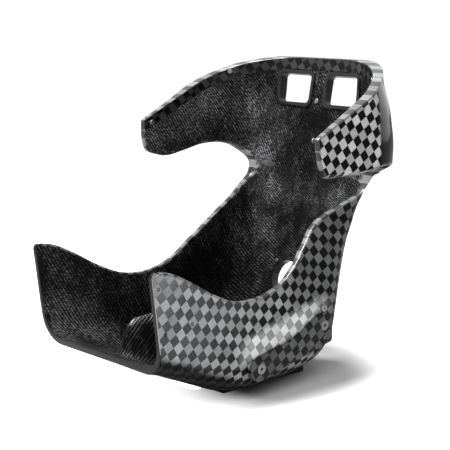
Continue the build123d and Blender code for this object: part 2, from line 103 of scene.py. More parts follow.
def roundedPath(corners, radii, step, arcSteps=12):
    # straight runs with an arc at each corner
    corners = [Vector(corner) for corner in corners]
    points = [corners[0]]
    for before, here, after, radius in zip(corners, corners[1:], corners[2:], radii):
        wayIn = (here - before).normalized()
        wayOut = (after - here).normalized()
        turn = atan2(wayIn.x * wayOut.y - wayIn.y * wayOut.x, wayIn.dot(wayOut))
        start = here - wayIn * radius * tan(abs(turn) / 2)
        side = 1 if turn > 0 else -1
        centre = start + Vector((-wayIn.y, wayIn.x)) * radius * side
        arm = start - centre
        for number in range(arcSteps + 1):
            angle = turn * number / arcSteps
            points.append(centre + Vector((arm.x * cos(angle) - arm.y * sin(angle),
                                           arm.x * sin(angle) + arm.y * cos(angle))))
    points.append(corners[-1])
    return spaced(points, step)


def smoothCurve(points, step):
    # a curve through every point, with the slope at a point taken from its neighbours
    points = [Vector(point) for point in points]
    padded = [2 * points[0] - points[1]] + points + [2 * points[-1] - points[-2]]
    made = [points[0]]
    for p, q, r, s in zip(padded, padded[1:], padded[2:], padded[3:]):
        knots = [0.0]
        for start, end in ((p, q), (q, r), (r, s)):
            knots.append(knots[-1] + (end - start).length ** 0.5)
        a, b, c, d = knots
        count = max(2, int((r - q).length / step))
        for number in range(1, count + 1):
            t = b + (c - b) * number / count
            pq = p * ((b - t) / (b - a)) + q * ((t - a) / (b - a))
            qr = q * ((c - t) / (c - b)) + r * ((t - b) / (c - b))
            rs = r * ((d - t) / (d - c)) + s * ((t - c) / (d - c))
            low = pq * ((c - t) / (c - a)) + qr * ((t - a) / (c - a))
            high = qr * ((d - t) / (d - b)) + rs * ((t - b) / (d - b))
            made.append(low * ((c - t) / (c - b)) + high * ((t - b) / (c - b)))
    return made


def blendValue(rows, at, column):
    # smooth value of a column between the rows, which never overshoots them
    places = [row[0] for row in rows]
    values = [row[column] for row in rows]
    steps = [(b - a) / (q - p) for a, b, p, q in zip(values, values[1:], places, places[1:])]
    slopes = [steps[0]]
    for before, after in zip(steps, steps[1:]):
        slopes.append(2 * before * after / (before + after) if before * after > 0 else 0.0)
    slopes.append(steps[-1])
    k = min(max(bisect_right(places, at) - 1, 0), len(places) - 2)
    width = places[k + 1] - places[k]
    t = (at - places[k]) / width
    return (values[k] * (1 + 2 * t) * (1 - t) ** 2 + values[k + 1] * t * t * (3 - 2 * t)
            + width * (slopes[k] * t * (1 - t) ** 2 - slopes[k + 1] * t * t * (1 - t)))


def placeOf(y, z):
    if y < bucket["openY"] and z <= bucket["openZ"]:
        return (y - bucket["openY"]) / bucket["straight"]
    if z > bucket["openZ"]:
        return bucket["turns"] + (z - bucket["openZ"]) / bucket["straight"]
    return degrees(atan2(y - bucket["openY"], bucket["openZ"] - z)) / bucket["turn"]


def backLine(z):
    # outer face of the back on the centre line, without the soft bend at the waist
    low, high = bucket["backFoot"], bucket["backWaist"]
    if z > bucket["backWaist"][1]:
        low, high = bucket["backWaist"], bucket["backTop"]
    return low[0] + (z - low[1]) * (high[0] - low[0]) / (high[1] - low[1])


heel = (backLine(bucket["heelZ"]), bucket["heelZ"])
profile = roundedPath(bucket["profile"] + [heel, bucket["backWaist"], bucket["backTop"]],
                      bucket["profileRadii"], bucket["profileStep"])
profilePlaces = [placeOf(point.x, point.y) for point in profile]


class Section:
    # one U across the bucket; its height runs from the outer centre line toward the open line
    def __init__(self, place):
        turns = bucket["turns"]
        k = min(max(bisect_right(profilePlaces, place) - 1, 0), len(profile) - 2)
        span = profilePlaces[k + 1] - profilePlaces[k]
        self.y, self.z = profile[k].lerp(profile[k + 1], (place - profilePlaces[k]) / span)
        self.angle = radians(min(max(place, 0.0), turns) * bucket["turn"])
        clear = bucket["wallClear"] * (1 - bucket["clearLoss"] * min(max(place, 0.0), turns))
        if place < 0:
            self.stop = bucket["openZ"] - self.z - clear
        elif place > turns:
            self.stop = self.y - bucket["openY"] - clear
        else:
            self.stop = hypot(self.y - bucket["openY"], self.z - bucket["openZ"]) - clear
        row = [blendValue(bucket["rows"], place, column) for column in range(1, 7)]
        self.half, self.flare, self.corner = row[0], radians(row[1]), row[2]
        self.walls = row[3:]
        self.middle = self.half - self.corner / cos(self.flare)
        self.wallStart = self.corner * (1 - sin(self.flare))

    def spot(self, part, depth, lift=0.0):
        # part: 0 to 1 base, 1 to 2 corner, 2 to 3 side wall; depth: 0 outer face, 1 sitting face
        # gives the half width, the height, and the height that the cloth has if it is laid flat
        turn = (pi / 2 - self.flare) * min(max(part - 1, 0.0), 1.0)
        share = max(part - 1, 0.0)
        near = min(int(share), 1)
        wall = self.walls[near] + (self.walls[near + 1] - self.walls[near]) * (share - near)
        deep = wall * depth + lift
        x = min(part, 1.0) * self.middle + self.corner * sin(turn)
        height = self.corner * (1 - cos(turn))
        unrolled = (self.wallStart - (pi / 2 - self.flare - turn) * self.corner
                    - (1 - min(part, 1.0)) * self.middle)
        if part > 2:
            rise = (self.stop - self.wallStart) * (part - 2)
            x += rise * tan(self.flare)
            height += rise
            unrolled = height
        return x - sin(turn) * deep, height + cos(turn) * deep, unrolled

    def inSpace(self, x, height):
        return Vector((x, self.y - height * sin(self.angle), self.z + height * cos(self.angle))) * mm

    def weave(self, unrolled):
        return ((self.y - unrolled * sin(self.angle)) * mm, (self.z + unrolled * cos(self.angle)) * mm)

    def atHeight(self, height, depth, lift=0.0, fine=16):
        # half width of the wall at a height, found between points a fine part apart
        spots = [self.spot(number / fine, depth, lift) for number in range(3 * fine + 1)]
        for low, high in zip(spots, spots[1:]):
            if low[1] <= height <= high[1] and high[1] > low[1]:
                t = (height - low[1]) / (high[1] - low[1])
                return low[0] + (high[0] - low[0]) * t
        return spots[-1][0]


def sideSpot(y, z, depth, lift=0.0):
    # the wall's point on the left, straight across from a point in side view
    section = Section(placeOf(y, z))
    height = -(y - section.y) * sin(section.angle) + (z - section.z) * cos(section.angle)
    return Vector((section.atHeight(height, depth, lift), y, z)) * mm


def newObject(bm, name):
    mesh = bpy.data.meshes.new(name)
    bm.to_mesh(mesh)
    bm.free()
    made = bpy.data.objects.new(name, mesh)
    bpy.context.scene.collection.objects.link(made)
    return made


def smoothed(made, angle):
    made.data.shade_smooth()
    made.data.set_sharp_from_angle(angle=radians(angle))
    return made


def asPiece(bm, name, smoothAngle):
    made = smoothed(newObject(bm, name), smoothAngle)
    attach(made, "root")
    return made


def applied(made):
    # the object with its modifiers made into its mesh
    graph = bpy.context.evaluated_depsgraph_get()
    mesh = bpy.data.meshes.new_from_object(made.evaluated_get(graph))
    made.modifiers.clear()
    old = made.data
    made.data = mesh
    bpy.data.meshes.remove(old)
    return made


def cutWith(made, cutter, operation):
    step = made.modifiers.new("cut", "BOOLEAN")
    step.operation = operation
    step.object = cutter
    step.solver = "EXACT"
    bpy.context.view_layer.update()
    return applied(made)


# Steps of the sheets that are laid over the bucket: across a half of it, and along it
grid = {"base": 18, "corner": 14, "wall": 44, "along": 170}


def partOf(step):
    # a step across one half of the grid, as a part of the section
    if step <= grid["base"]:
        return step / grid["base"]
    if step <= grid["base"] + grid["corner"]:
        return 1 + (step - grid["base"]) / grid["corner"]
    return 2 + (step - grid["base"] - grid["corner"]) / grid["wall"]


# Soft ridge between the back and each side bolster, with a crease that crosses it under the wings:
# its line as (place, part), its width in parts, and its height as (place, height)
fold = {
    "line": [(1.82, 1.30), (2.93, 0.90), (3.76, 0.76), (4.64, 0.88), (5.62, 1.20)], "width": 0.14,
    "height": [(1.2, 0.0), (2.0, 7.0), (3.6, 6.0), (4.05, 1.5), (4.7, 1.5), (5.2, 4.5), (6.0, 0.0)],
    "crease": 5.25, "creaseDepth": 4.0, "creaseWidth": 0.12,
}


def foldLift(place, part):
    if place < fold["height"][0][0] or place > fold["height"][-1][0]:
        return 0.0
    away = (part - blendValue(fold["line"], place, 1)) / fold["width"]
    below = (place - fold["crease"]) / fold["creaseWidth"]
    ridgeHeight = blendValue(fold["height"], place, 1) * exp(-away * away)
    return ridgeHeight - fold["creaseDepth"] * exp(-below * below)


def bucketSheet(depth, lift=0.0):
    # a grid laid over the bucket at one depth of its wall, with the cloth's own coordinates
    sitting = depth > 0.5
    halfSteps = grid["base"] + grid["corner"] + grid["wall"]
    bm = bmesh.new()
    bmesh.ops.create_grid(bm, x_segments=2 * halfSteps, y_segments=grid["along"], size=0.5)
    weave = bm.loops.layers.uv.new("weave")
    places = [placeOf(point.x, point.y) for point in evenly(profile, grid["along"] + 1)]
    sections = [Section(place) for place in places]
    backCentre = Section(bucket["turns"]).spot(0.0, depth)[2]
    cloth = {}
    for vert in bm.verts:
        column = round((vert.co.x + 0.5) * 2 * halfSteps) - halfSteps
        row = round((vert.co.y + 0.5) * grid["along"])
        section, part = sections[row], partOf(abs(column))
        raised = foldLift(places[row], part) if sitting else 0.0
        x, height, unrolled = section.spot(part, depth, lift + raised)
        vert.co = section.inSpace(x if column > 0 else -x, height)
        centre = section.spot(0.0, depth)[2]
        if (column > 0) == sitting:
            unrolled = 2 * centre - unrolled     # the cloth runs on across the centre line
        if sitting and places[row] > bucket["turns"]:
            unrolled += backCentre - centre
        cloth[vert] = section.weave(unrolled)
    for face in bm.faces:
        for loop in face.loops:
            loop[weave].uv = cloth[loop.vert]
    bm.normal_update()
    floorFace = min(bm.faces, key=lambda face: face.calc_center_median().z)
    if (floorFace.normal.z > 0) != sitting:      # the sitting face looks up, the outer face down
        bmesh.ops.reverse_faces(bm, faces=bm.faces)
    return bm


# Trims in side view
thighCurve = smoothCurve(outline["thigh"], outline["step"])
tipCurve = smoothCurve(outline["tip"], outline["step"])
topCurve = smoothCurve(outline["top"], outline["topStep"])
# Rounded upper front corner of the thigh panels; the wrapped edge starts clear of it.
# Its cutter keeps the part of the rounded line within a reach, and stands out by a margin.
frontCorner = {"radius": 11.0, "clear": 16.0, "step": 0.8, "reach": 27.5, "margin": 20.0}


def outwardNormals(points):
    # outward from the shell, for a run that keeps the shell on its right
    normals = []
    for before, after in zip(points[:1] + points[:-1], points[1:] + points[-1:]):
        way = (after - before).normalized()
        normals.append(Vector((-way.y, way.x)))
    return normals


def insetRun(points, amount, leastMitre=0.5):
    # a closed run of points moved in by an amount; the least mitre keeps sharp corners near
    points = [Vector(point) for point in points]
    moved = []
    for before, here, after in zip(points[-1:] + points[:-1], points, points[1:] + points[:1]):
        wayIn = (here - before).normalized()
        wayOut = (after - here).normalized()
        normal = Vector((wayIn.y + wayOut.y, -wayIn.x - wayOut.x))
        moved.append(here + normal * (amount / max(1 + wayIn.dot(wayOut), leastMitre)))
    return moved


def cornerRegion():
    # what a rounded upper front corner leaves off
    corner, margin = Vector(outline["thigh"][0]), frontCorner["margin"]
    path = roundedPath([outline["front"], corner, outline["thigh"][1]], [frontCorner["radius"]],
                       frontCorner["step"])
    arc = [point for point in path if (point - corner).length < frontCorner["reach"]]
    outside = [(arc[-1].x, corner.y + margin), (corner.x - margin, corner.y + margin),
               (corner.x - margin, arc[0].y)]
    return arc + [Vector(point) for point in outside]


def shellRegion(inset):
    run = thighCurve + tipCurve[1:] + topCurve[1:]
    return insetRun(run + [outline["behind"], *outline["under"], outline["front"]], inset)


# Openings, in the back unless said; their tools are a little larger than the frames' holes
opening = {"clear": 2.0, "wallMiddle": 18.0, "trimReach": 400.0}
window = {"width": 100.0, "height": 70.0, "spacing": 154.0, "middleZ": 654.0, "corner": 10.0, "reach": 60.0}
vent = {"radius": 45.0, "z": 198.0, "reach": 45.0}
beltSlot = {"width": 90.0, "length": 32.0, "y": -128.0, "z": 20.0, "reach": 50.0}     # in the pan
lean = radians(bucket["backLean"])
acrossWay = Vector((1, 0, 0))
backWay = Vector((0, cos(lean), -sin(lean)))
backUp = Vector((0, sin(lean), cos(lean)))


def roundedRectangle(width, height, radius, steps=6):
    points = []
    for cornerX, cornerY, start in ((1, 1, 0), (-1, 1, 90), (-1, -1, 180), (1, -1, 270)):
        for number in range(steps + 1):
            angle = radians(start + 90 * number / steps)
            points.append((cornerX * (width / 2 - radius) + radius * cos(angle),
                           cornerY * (height / 2 - radius) + radius * sin(angle)))
    return points


def circlePoints(radius, steps=48):
    return [(radius * cos(2 * pi * n / steps), radius * sin(2 * pi * n / steps)) for n in range(steps)]


def onBack(x, z):
    return Vector((x, backLine(z) - opening["wallMiddle"], z))


def drawnTool(name, ring, way):
    # a hidden cutter: a flat ring of points, drawn out along a way and closed
    bm = bmesh.new()
    face = bm.faces.new([bm.verts.new(point) for point in ring])
    drawn = bmesh.ops.extrude_face_region(bm, geom=[face])
    moved = [item for item in drawn["geom"] if isinstance(item, bmesh.types.BMVert)]
    bmesh.ops.translate(bm, verts=moved, vec=way)
    bmesh.ops.recalc_face_normals(bm, faces=bm.faces)
    made = newObject(bm, name)
    made.hide_render = True
    made.hide_viewport = True
    return made


def throughTool(name, shape, centre, up, way, reach):
    ring = [(centre + acrossWay * a + up * b - way * reach) * mm for a, b in shape]
    return drawnTool(name, ring, way * 2 * reach * mm)


def sideTool(name, region):
    # cuts straight across the seat, along a region in side view
    reach = opening["trimReach"]
    return drawnTool(name, [(-reach * mm, y * mm, z * mm) for y, z in region], (2 * reach * mm, 0, 0))


clear = opening["clear"]
cutters = []
for side in (-1, 1):
    shape = roundedRectangle(window["width"] + 2 * clear, window["height"] + 2 * clear,
                             window["corner"] + clear)
    centre = onBack(side * window["spacing"] / 2, window["middleZ"])
    cutters.append(throughTool(f"windowTool{side}", shape, centre, backUp, backWay, window["reach"]))
cutters.append(throughTool("ventTool", circlePoints(vent["radius"] + clear), onBack(0, vent["z"]),
                           backUp, backWay, vent["reach"]))
shape = roundedRectangle(beltSlot["width"] + 2 * clear, beltSlot["length"] + 2 * clear,
                         beltSlot["length"] / 2 + clear)
cutters.append(throughTool("slotTool", shape, Vector((0, beltSlot["y"], beltSlot["z"])),
                           Vector((0, 1, 0)), Vector((0, 0, 1)), beltSlot["reach"]))
cornerTool = sideTool("cornerTool", cornerRegion())
cutters.append(cornerTool)
print("tools made")


# Skins: sheets with a thickness, trimmed to the free edge. The edge strip covers their cut edges.
skins = {"trimInset": 1.5, "outerSunk": 0.3, "sheetAngle": 60.0, "cutAngle": 40.0}
band = {"from": 2.0, "to": 27.0, "steps": 60, "lift": 1.1, "thickness": 1.4}


def bandRegion():
    # the strip just inside the top edge
    run = evenly(topCurve + [Vector(outline["behind"])], band["steps"])
    normals = outwardNormals(run)
    upper = [point - normal * band["from"] for point, normal in zip(run, normals)]
    lower = [point - normal * band["to"] for point, normal in zip(run, normals)]
    return upper + lower[::-1]


def skinPiece(name, depth, lift, thickness, region, nodes):
    made = asPiece(bucketSheet(depth, lift), name, skins["sheetAngle"])
    wall = made.modifiers.new("wall", "SOLIDIFY")
    wall.thickness = thickness * mm
    wall.use_even_offset = True
    wall.offset = -1
    applied(made)
    cutWith(made, sideTool(name + "Trim", region), "INTERSECT")
    for cutter in cutters:
        cutWith(made, cutter, "DIFFERENCE")
    smoothed(made, skins["cutAngle"])
    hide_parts(*nodes)
    print(name, len(made.data.polygons), "faces")
    return made


shell = shellRegion(skins["trimInset"])
cores = [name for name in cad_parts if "core" in name]
outerSkin = skinPiece("outerSkin", 0.0, skins["outerSunk"], bucket["skin"], shell,
                      ["outer_skin"])
innerSkin = skinPiece("innerSkin", 1.0, 0.0, bucket["skin"], shell, ["inner_skin"] + cores)
topBand = skinPiece("topBand", 1.0, band["lift"], band["thickness"], bandRegion(),
                    ["top_band"])

# Edge of the shell: a wrapped strip from the outer face over the free edge to the sitting face
rim = {
    "leg": 5.0, "round": 2.4, "outerLift": 0.05, "innerLift": 0.25, "outerBreak": 0.5, "innerBreak": 0.45,
    "step": 7.0, "merge": 0.2, "smooth": 50.0, "halvings": 22,
    # along the top edge: from the centre to the last part, between two places of the bucket
    "topSteps": 45, "lastPart": 1.95, "lowPlace": 5.4, "highPlace": 7.15, "behindPoints": 18, "topGap": 6.0,
}
# (depth, lift, inset) of each line along the strip
rimShape = [(0, rim["outerLift"], rim["leg"]), (0, rim["outerLift"], rim["round"]),
            (0, rim["outerBreak"], rim["outerBreak"]), (0, rim["round"], 0.0), (1, -rim["round"], 0.0),
            (1, -rim["innerBreak"], rim["outerBreak"]), (1, rim["innerLift"], rim["round"]),
            (1, rim["innerLift"], rim["leg"])]
topEdge = topCurve + evenly([topCurve[-1], Vector(outline["behind"])], rim["behindPoints"])[1:]


def alongTop(part):
    # where a line of the grid comes to an inset from the top edge, found by halving
    def spotAt(place, depth, lift):
        section = Section(place)
        x, height, _ = section.spot(part, depth, lift)
        return section.inSpace(x, height)

    def station(depth, lift, inset):
        low, high = rim["lowPlace"], rim["highPlace"]
        for _ in range(rim["halvings"]):
            middle = (low + high) / 2
            spot = spotAt(middle, depth, lift) / mm
            flat = Vector((spot.y, spot.z))
            start, end = min(zip(topEdge, topEdge[1:]), key=lambda run: (flat - (run[0] + run[1]) / 2).length)
            way = (end - start).normalized()
            if (flat - start).dot(Vector((-way.y, way.x))) + inset < 0:
                low = middle
            else:
                high = middle
        return spotAt((low + high) / 2, depth, lift)
    return station


def alongSide(point, normal):
    def station(depth, lift, inset):
        spot = point - normal * inset
        return sideSpot(spot.x, spot.y, depth, lift)
    return station


def edgeStations():
    # from the centre of the top edge round its corner, then along the side to the front corner
    top = [alongTop(rim["lastPart"] * number / rim["topSteps"]) for number in range(rim["topSteps"] + 1)]
    end = top[-1](0, 0, 0) / mm
    rest = [point for point in topCurve if point.x < end.y - rim["topGap"]]
    thigh = [point for point in thighCurve if point.x > outline["thigh"][0][0] + frontCorner["clear"]]
    run = spaced(rest[::-1] + tipCurve[::-1][1:] + thigh[::-1], rim["step"])
    normals = [normal * -1 for normal in outwardNormals(run)]      # this run goes the other way round
    return top + [alongSide(point, normal) for point, normal in zip(run, normals)]


def sweptEdge(name, stations, nodes):
    # each station gives a point for a line of the strip; the strip is a grid laid over them
    merge = rim["merge"] * mm
    along, across = len(stations) - 1, len(rimShape) - 1
    bm = bmesh.new()
    bmesh.ops.create_grid(bm, x_segments=along, y_segments=across, size=0.5)
    for vert in bm.verts:
        column = round((vert.co.x + 0.5) * along)
        row = round((vert.co.y + 0.5) * across)
        vert.co = stations[column](*rimShape[row])
    bmesh.ops.mirror(bm, geom=bm.verts[:] + bm.edges[:] + bm.faces[:], axis="X", merge_dist=merge)
    bmesh.ops.remove_doubles(bm, verts=bm.verts, dist=merge)
    bmesh.ops.recalc_face_normals(bm, faces=bm.faces)
    made = asPiece(bm, name, rim["smooth"])
    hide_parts(*nodes)
    return made


rimBead = sweptEdge("rimBead", edgeStations(), ["rim_closeout"])
print("rim bead", len(rimBead.data.polygons), "faces")

# Leg divider: a ridge moulded up out of the pan, with a narrow crest and flared flanks
ridge = {
    "halfWidth": 52.0, "front": -338.0, "back": -150.0, "thickness": 1.5,
    "nose": -284.0, "tail": -186.0, "tailPull": 2.2,    # ends of the crest; how steeply it ends behind
    "panY": -285.0, "panZ": 88.0, "panSlope": 0.43,
    "across": 64, "along": 110, "crestStep": 1.5, "flankStep": 40.0, "flankScale": 100.0,
    "crest": [(-298, 120), (-292, 146), (-289, 160), (-284, 171), (-276, 178), (-262, 182), (-235, 184),
              (-205, 184), (-188, 181), (-178, 168), (-150, 120)],
    # share of the crest's height at a distance from it
    "flank": [(0, 1), (5, 0.985), (8, 0.93), (11, 0.8), (14, 0.6), (19, 0.38), (27, 0.18), (38, 0.06),
              (52, 0)],
}


def lineValue(points, at):
    for (low, first), (high, second) in zip(points, points[1:]):
        if at <= high:
            return first + (second - first) * max(0.0, (at - low) / (high - low))
    return points[-1][1]


def ridgeSheet():
    scale = ridge["flankScale"]     # the flank is smoothed enlarged, where the curve's steps suit it
    crest = [tuple(point) for point in smoothCurve(ridge["crest"], ridge["crestStep"])]
    enlarged = smoothCurve([(x * scale, share * scale) for x, share in ridge["flank"]], ridge["flankStep"])
    flank = [(x / scale, share / scale) for x, share in enlarged]
    bm = bmesh.new()
    bmesh.ops.create_grid(bm, x_segments=ridge["across"], y_segments=ridge["along"], size=0.5)
    weave = bm.loops.layers.uv.new("weave")
    for vert in bm.verts:
        x = vert.co.x * 2 * ridge["halfWidth"]
        y = ridge["front"] + (vert.co.y + 0.5) * (ridge["back"] - ridge["front"])
        low = ridge["panZ"] - (y - ridge["panY"]) * ridge["panSlope"]
        spineY = min(max(y, ridge["nose"]), ridge["tail"])
        away = Vector((x, (y - spineY) * (1.0 if y < spineY else ridge["tailPull"]))).length
        vert.co = Vector((x, y, low + (lineValue(crest, spineY) - low) * lineValue(flank, away))) * mm
    for face in bm.faces:
        for loop in face.loops:
            loop[weave].uv = (loop.vert.co.x, loop.vert.co.y - loop.vert.co.z)
    bm.normal_update()
    return bm


legDivider = asPiece(ridgeSheet(), "legDivider", skins["sheetAngle"])
wall = legDivider.modifiers.new("wall", "SOLIDIFY")
wall.thickness = ridge["thickness"] * mm
wall.offset = -1
smoothed(applied(legDivider), skins["sheetAngle"])
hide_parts("leg_divider")
print("leg divider", len(legDivider.data.polygons), "faces")

# Fitted pieces: their edge breaks in millimetres, and their slots
breaks = {
    "mount_block": (2.6, "spread_tow_carbon"), "side_boss": (1.0, "insert_metal"),
    "mount_insert_front": (0.8, "insert_metal"), "mount_insert_rear": (0.8, "insert_metal"),
    "block_inserts": (0.5, "insert_metal"), "shoulder_belt_frame": (1.6, "frame_carbon"),
    "wing_stud": (0.8, "screw_metal"), "band_screw": (1.0, "screw_metal"),
    "vent_ring": (1.4, "frame_carbon"), "vent_clamp_ring": (1.0, "frame_carbon"),
    "crotch_belt_frame": (1.4, "frame_carbon"), "centre_stud": (0.8, "screw_metal"),
    "vent_screws": (0.6, "screw_metal"), "foot_pad": (4.0, "foot_laminate"),
    "front_edge_moulding": (1.6, "edge_laminate"),
}
edgeWork = {"merge": 0.02, "flat": 1.5, "sharp": 28.0, "segments": 3, "smooth": 40.0}


def softened(nodeName, width):
    # a copy of a CAD piece with its doubles merged and its edges broken
    bm = bmesh.new()
    bm.from_mesh(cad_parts[nodeName].data)
    bmesh.ops.remove_doubles(bm, verts=bm.verts, dist=edgeWork["merge"] * mm)
    bmesh.ops.dissolve_limit(bm, angle_limit=radians(edgeWork["flat"]), verts=bm.verts, edges=bm.edges)
    bm.normal_update()
    sharp = [edge for edge in bm.edges
             if len(edge.link_faces) == 2 and edge.calc_face_angle(0) > radians(edgeWork["sharp"])]
    bmesh.ops.bevel(bm, geom=sharp, offset=width * mm, offset_type="OFFSET", affect="EDGES",
                    segments=edgeWork["segments"], profile=0.5, material=-1, clamp_overlap=True)
    name = "".join(word.capitalize() if k else word for k, word in enumerate(nodeName.split("_")))
    made = asPiece(bm, name + "Piece", edgeWork["smooth"])
    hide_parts(nodeName)
    return made


fitted = {}
for name, (width, slotName) in breaks.items():
    for nodeName in (name, name + "_left", name + "_right"):
        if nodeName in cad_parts:
            fitted[nodeName] = softened(nodeName, width)
cutWith(fitted["front_edge_moulding"], cornerTool, "DIFFERENCE")
print("fitted pieces:", len(fitted))


class Wire:
    # a socket that takes part in sums
    def __init__(self, wiring, socket):
        self.wiring, self.socket = wiring, socket

    def __add__(self, other):
        return self.wiring.maths("ADD", self, other)

    def __sub__(self, other):
        return self.wiring.maths("SUBTRACT", self, other)

    def __rsub__(self, other):
        return self.wiring.maths("SUBTRACT", other, self)

    def __mul__(self, other):
        return self.wiring.maths("MULTIPLY", self, other)

    __radd__ = __add__
    __rmul__ = __mul__

    def __truediv__(self, other):
        return self.wiring.maths("DIVIDE", self, other)

    def __mod__(self, other):
        return self.wiring.maths("FLOORED_MODULO", self, other)

    def __gt__(self, other):
        return self.wiring.maths("GREATER_THAN", self, other)

    def __lt__(self, other):
        return self.wiring.maths("LESS_THAN", self, other)

    def floor(self):
        return self.wiring.maths("FLOOR", self)

    def fraction(self):
        return self.wiring.maths("FRACT", self)

    def size(self):
        return self.wiring.maths("ABSOLUTE", self)

    def power(self, other):
        return self.wiring.maths("POWER", self, other)

    def smaller(self, other):
        return self.wiring.maths("MINIMUM", self, other)

    def larger(self, other):
        return self.wiring.maths("MAXIMUM", self, other)

    def between(self, low, high, newLow=0.0, newHigh=1.0):
        # a soft step from one value to another
        return self.wiring.node("ShaderNodeMapRange", {"interpolation_type": "SMOOTHSTEP"},
                                {0: self, 1: low, 2: high, 3: newLow, 4: newHigh})


class Wiring:
    # a node tree, whose sockets take wires, numbers and colours alike
    def __init__(self, tree):
        self.tree = tree

    def join(self, item, socket):
        if isinstance(item, Wire):
            self.tree.links.new(item.socket, socket)
        elif isinstance(item, tuple) and len(item) == 3 and socket.type == "RGBA":
            socket.default_value = (*item, 1)
        else:
            socket.default_value = item

    def node(self, kind, settings, sockets, output=0):
        node = self.tree.nodes.new(kind)
        for name, value in settings.items():
            setattr(node, name, value)
        for name, item in sockets.items():
            self.join(item, node.inputs[name])
        return Wire(self, node.outputs[output])

    def maths(self, operation, *items):
        return self.node("ShaderNodeMath", {"operation": operation}, dict(enumerate(items)))

    def mix(self, factor, first, second, blend="MIX"):
        settings = {"data_type": "RGBA", "blend_type": blend}
        return self.node("ShaderNodeMix", settings, {0: factor, 6: first, 7: second}, 2)

    def noise(self, vector, scale, detail, roughness=0.5):
        sockets = {"Vector": vector, "Scale": scale, "Detail": detail, "Roughness": roughness}
        return self.node("ShaderNodeTexNoise", {}, sockets)

    def vector(self, x, y, z=0.0):
        return self.node("ShaderNodeCombineXYZ", {}, {0: x, 1: y, 2: z})

    def parts(self, vector):
        node = self.tree.nodes.new("ShaderNodeSeparateXYZ")
        self.join(vector, node.inputs[0])
        return [Wire(self, node.outputs[number]) for number in range(3)]

    def objectParts(self):
        return self.parts(self.node("ShaderNodeTexCoord", {}, {}, "Object"))

    def weaveParts(self):
        return self.parts(self.node("ShaderNodeUVMap", {"uv_map": "weave"}, {}))[:2]


class Finish(Wiring):
    # one material
    def __init__(self, name, colour, metallic=0.0, roughness=0.4, coat=0.0, coatRoughness=0.05, level=0.5):
        self.material = bpy.data.materials.new(name)
        self.material.use_nodes = True
        self.material.diffuse_color = (*colour, 1)
        super().__init__(self.material.node_tree)
        self.shader = self.tree.nodes["Principled BSDF"]
        self.set("Base Color", colour)
        self.set("Metallic", metallic)
        self.set("Roughness", roughness)
        self.set("Coat Weight", coat)
        self.set("Coat Roughness", coatRoughness)
        self.set("Specular IOR Level", level)

    def set(self, name, item):
        self.join(item, self.shader.inputs[name])

    def bump(self, height, distance, strength):
        sockets = {"Height": height, "Distance": distance, "Strength": strength}
        self.set("Normal", self.node("ShaderNodeBump", {}, sockets))


def turned(across, up, angle):
    c, s = cos(radians(angle)), sin(radians(angle))
    return across * c + up * s, up * c - across * s


# Spread tow: flat tows laid over and under, so the cloth reads as squares. Lengths here are in metres.
spreadTow = {
    "tow": 0.0200, "turn": 31.0,
    "alongFibre": 25.0, "acrossFibre": 1400.0, "detail": 2.0,       # how often a fibre's tone changes
    "level": 0.9, "streaks": 1.3, "patches": 0.45,
    "roughness": 0.42, "overShine": 0.06,
    "seam": (0.45, 0.5), "streakHeight": 0.3, "relief": 0.00012, "reliefStrength": 0.5,
}


def spreadTowFinish(finish, light, dark, across, up, shade=1.0):
    tow, along, thin = spreadTow["tow"], spreadTow["alongFibre"], spreadTow["acrossFibre"]
    u, v = turned(across, up, spreadTow["turn"])
    iu, iv = (u / tow).floor(), (v / tow).floor()
    fu, fv = (u / tow).fraction(), (v / tow).fraction()
    over = (iu + iv) % 2.0 > 0.5
    fibreU = finish.noise(finish.vector(u * along, v * thin), 1.0, spreadTow["detail"])
    fibreV = finish.noise(finish.vector(u * thin, v * along), 1.0, spreadTow["detail"])
    streak = over * fibreU + (1.0 - over) * fibreV
    square = finish.vector(iu, iv)
    patch = finish.node("ShaderNodeTexWhiteNoise", {"noise_dimensions": "2D"}, {"Vector": square})
    tone = (streak - 0.5) * spreadTow["streaks"] + spreadTow["level"] + (patch - 0.5) * spreadTow["patches"]
    # painted shade, where it is given
    tone = tone * shade
    squares = finish.mix(over, dark, light)
    finish.set("Base Color", finish.mix(1.0, squares, finish.vector(tone, tone, tone), "MULTIPLY"))
    finish.set("Roughness", spreadTow["roughness"] - over * spreadTow["overShine"])
    seam = (fu - 0.5).size().larger((fv - 0.5).size()).between(*spreadTow["seam"])
    finish.bump(streak * spreadTow["streakHeight"] - seam, spreadTow["relief"], spreadTow["reliefStrength"])


